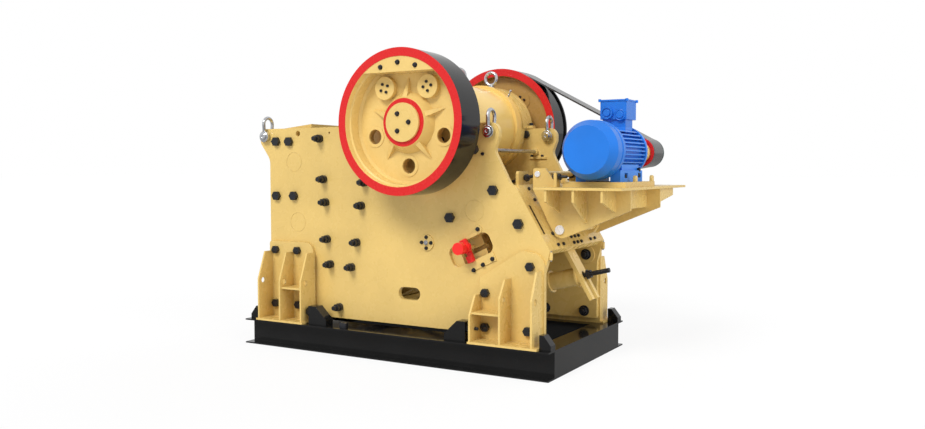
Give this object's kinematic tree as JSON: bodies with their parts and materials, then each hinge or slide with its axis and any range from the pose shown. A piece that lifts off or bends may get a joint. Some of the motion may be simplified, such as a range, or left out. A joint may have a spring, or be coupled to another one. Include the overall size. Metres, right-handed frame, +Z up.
{
  "type": "jaw crusher",
  "caption": "Single-toggle jaw crusher on a beam base, with flywheel, belt-driven wheel, rear motor platform, wedge adjustment and spring-loaded tension rod.",
  "frame": {"origin": "middle of the base frame's underside, between its ends and its sides", "axes": "+X from the feed end to the motor platform, +Y across the machine to the belt side, +Z up"},
  "size_m": [4.558, 2.588, 3.278],
  "materials": {
    "machine_tan": "satin enamel",
    "motor_blue": "satin enamel",
    "black_enamel": "gloss enamel",
    "red_enamel": "gloss enamel",
    "manganese_steel": "as cast",
    "bright_steel": "plated",
    "belt_rubber": "matt"
  },
  "bodies": {
    "frame": {"side_beams": "black_enamel", "end_beams": "black_enamel", "base_stops": "black_enamel", "side_plates": "machine_tan", "front_wall": "machine_tan", "fixed_jaw_plate": "manganese_steel", "cheek_plates": "manganese_steel", "rear_wall": "machine_tan", "bearing_housings": "machine_tan", "eyebolts": "bright_steel", "tie_rod": "bright_steel", "lifting_shackles": "bright_steel", "front_feet": "machine_tan", "rear_feet": "machine_tan", "frame_bolts": "black_enamel", "cheek_studs": "black_enamel", "toggle_seat": "machine_tan", "seat_holder": "machine_tan", "wedge_cylinders": "red_enamel", "rod_hanger": "machine_tan", "spring_housing": "machine_tan", "platform_webs": "machine_tan", "platform_deck": "machine_tan", "platform_gussets": "machine_tan", "platform_pins": "bright_steel", "link_screws": "black_enamel", "motor_base": "machine_tan", "motor_cowl": "motor_blue", "motor_body": "motor_blue", "terminal_box": "motor_blue", "drive_belts": "belt_rubber"},
    "rotor": {"eccentric_shaft": "bright_steel", "flywheel": "machine_tan", "drive_wheel": "machine_tan", "hub_caps": "machine_tan"},
    "pulley": {"motor_pulley": "black_enamel"},
    "swing_jaw": {"pitman": "machine_tan", "swing_jaw_plate": "manganese_steel", "rod_pin": "black_enamel"},
    "toggle": {"toggle_plate": "machine_tan"},
    "rod": {"tension_rod": "black_enamel"},
    "wedge_a": {"wedge_near": "machine_tan"},
    "wedge_b": {"wedge_far": "machine_tan"}
  },
  "joints": [
    {"name": "shaft_spin", "type": "hinge", "parent": "frame", "child": "rotor", "pos_m": [0.386, 0, 2.528], "axis": [0, 1, 0], "continuous": true},
    {"name": "pulley_spin", "type": "hinge", "parent": "frame", "child": "pulley", "pos_m": [2.186, 0, 2.238], "axis": [0, 1, 0], "continuous": true},
    {"name": "jaw_swing", "type": "hinge", "parent": "frame", "child": "swing_jaw", "pos_m": [0.386, 0, 2.528], "axis": [0, 1, 0], "range_deg": [-0.3, 0.3]},
    {"name": "toggle_swing", "type": "hinge", "parent": "frame", "child": "toggle", "pos_m": [0.6694, 0, 1.0535], "axis": [0, 1, 0], "range_deg": [-0.42, 0.42]},
    {"name": "rod_swing", "type": "hinge", "parent": "swing_jaw", "child": "rod", "pos_m": [-0.33, 0, 0.372], "axis": [0, 1, 0], "range_deg": [-0.15, 0.15]},
    {"name": "wedge_near_slide", "type": "slide", "parent": "frame", "child": "wedge_a", "axis": [0, -1, 0], "range_m": [0, 0.05]},
    {"name": "wedge_far_slide", "type": "slide", "parent": "frame", "child": "wedge_b", "axis": [0, 1, 0], "range_m": [0, 0.05]}
  ],
  "couplings": [
    {"joint": "pulley_spin", "follows": "shaft_spin", "ratio": 4.5455},
    {"joint": "toggle_swing", "follows": "jaw_swing", "ratio": 1.371},
    {"joint": "rod_swing", "follows": "jaw_swing", "ratio": -0.4712},
    {"joint": "wedge_far_slide", "follows": "wedge_near_slide", "ratio": 1}
  ]
}
